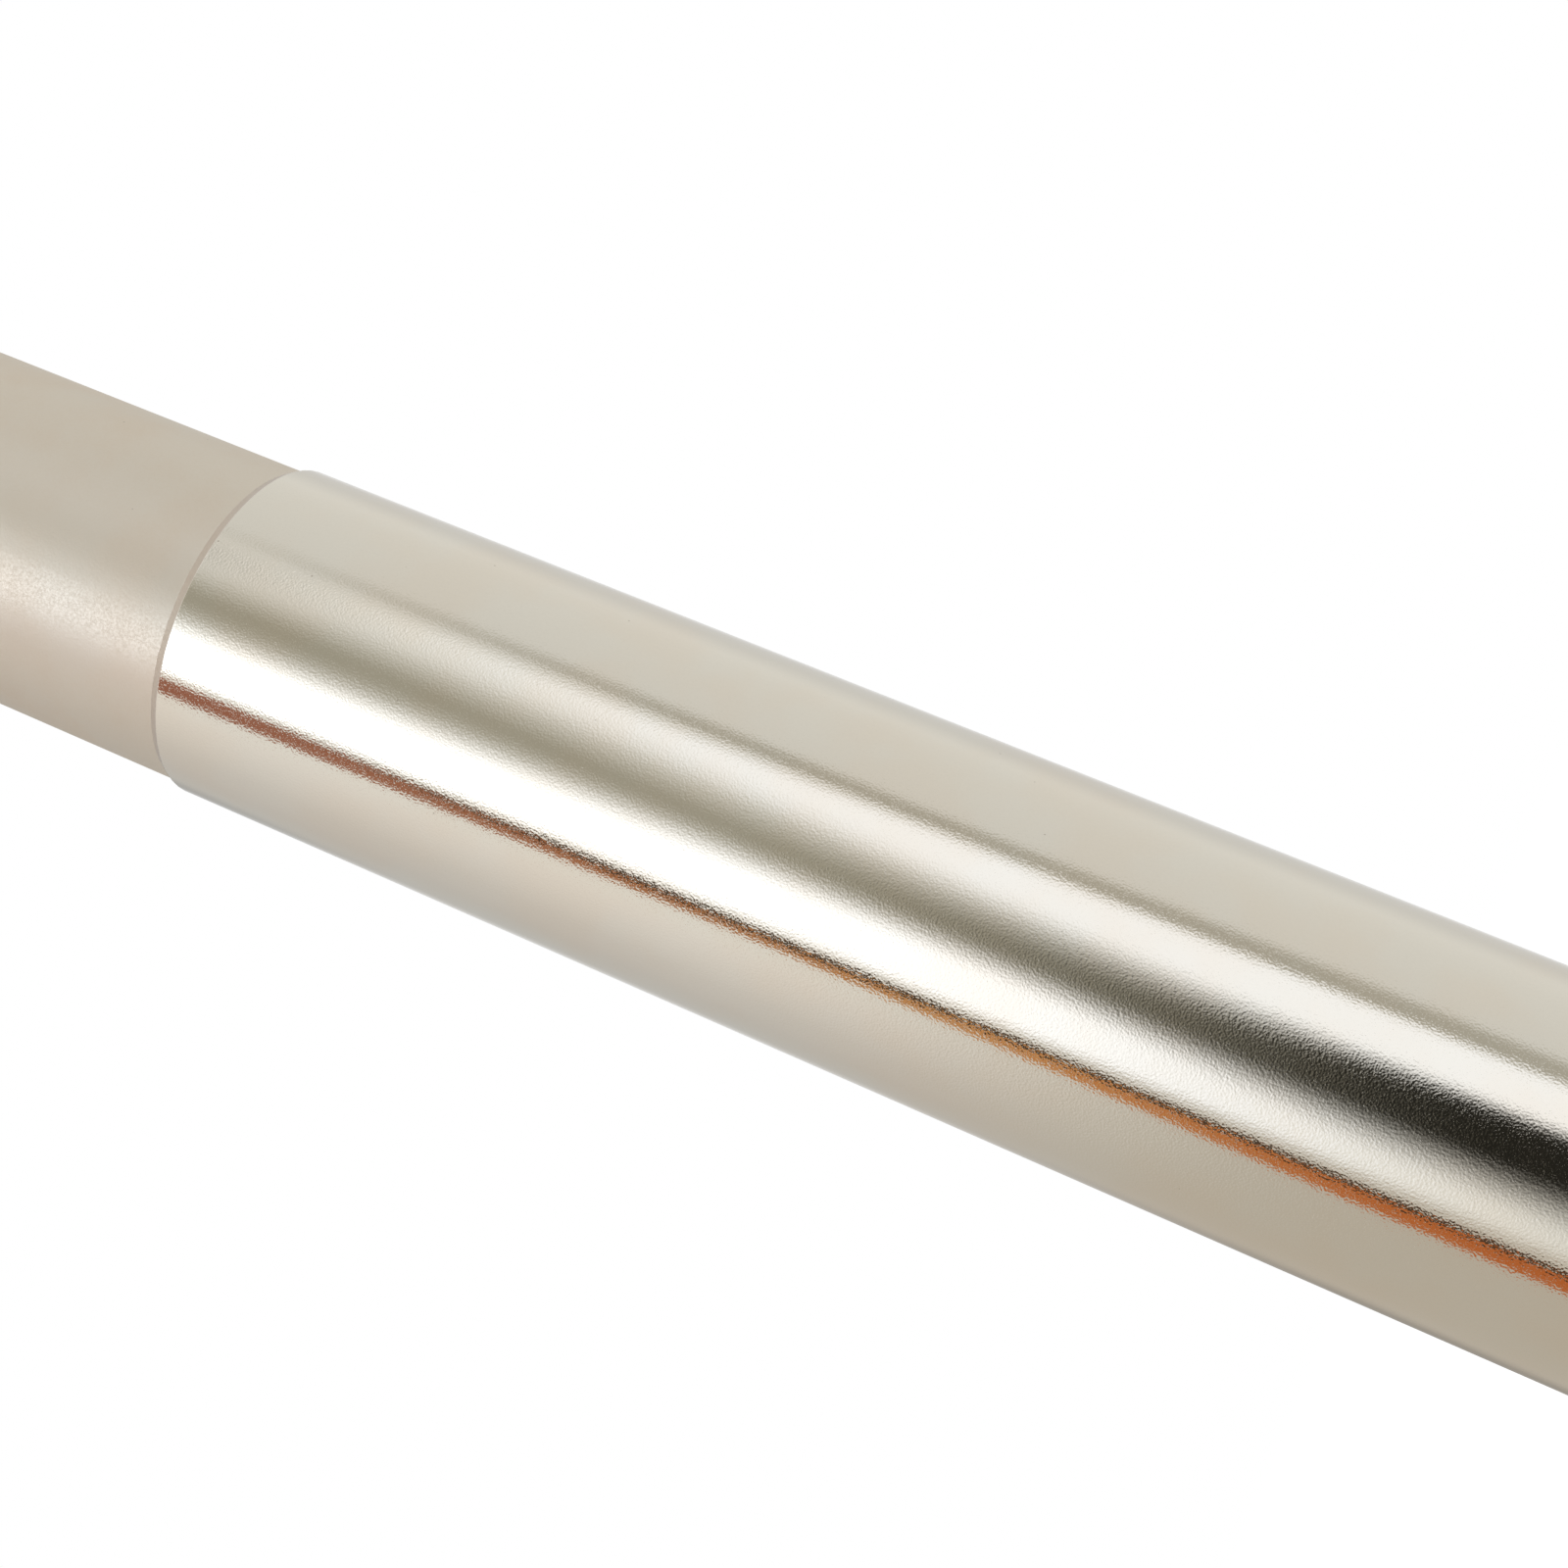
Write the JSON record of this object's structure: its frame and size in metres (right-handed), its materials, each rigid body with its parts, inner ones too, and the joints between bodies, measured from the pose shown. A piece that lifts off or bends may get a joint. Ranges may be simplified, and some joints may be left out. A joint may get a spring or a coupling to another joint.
{
  "type": "indexable end mill",
  "caption": "Shoulder end mill with a plain round shank, a relieved neck and screw-clamped carbide inserts in a milled cutting head.",
  "frame": {"origin": "centre of the shank's back face", "axes": "+Z along the tool axis from the shank to the cutting end, +X towards the first tooth"},
  "size_m": [0.025, 0.025, 0.15],
  "materials": {
    "nickel_plated_steel": "satin",
    "coated_carbide": "satin",
    "screw_steel": "satin"
  },
  "bodies": {
    "root": {"holder": "nickel_plated_steel", "insert_1": "coated_carbide", "insert_2": "coated_carbide", "insert_screw_1": "screw_steel", "insert_screw_2": "screw_steel"}
  },
  "joints": []
}
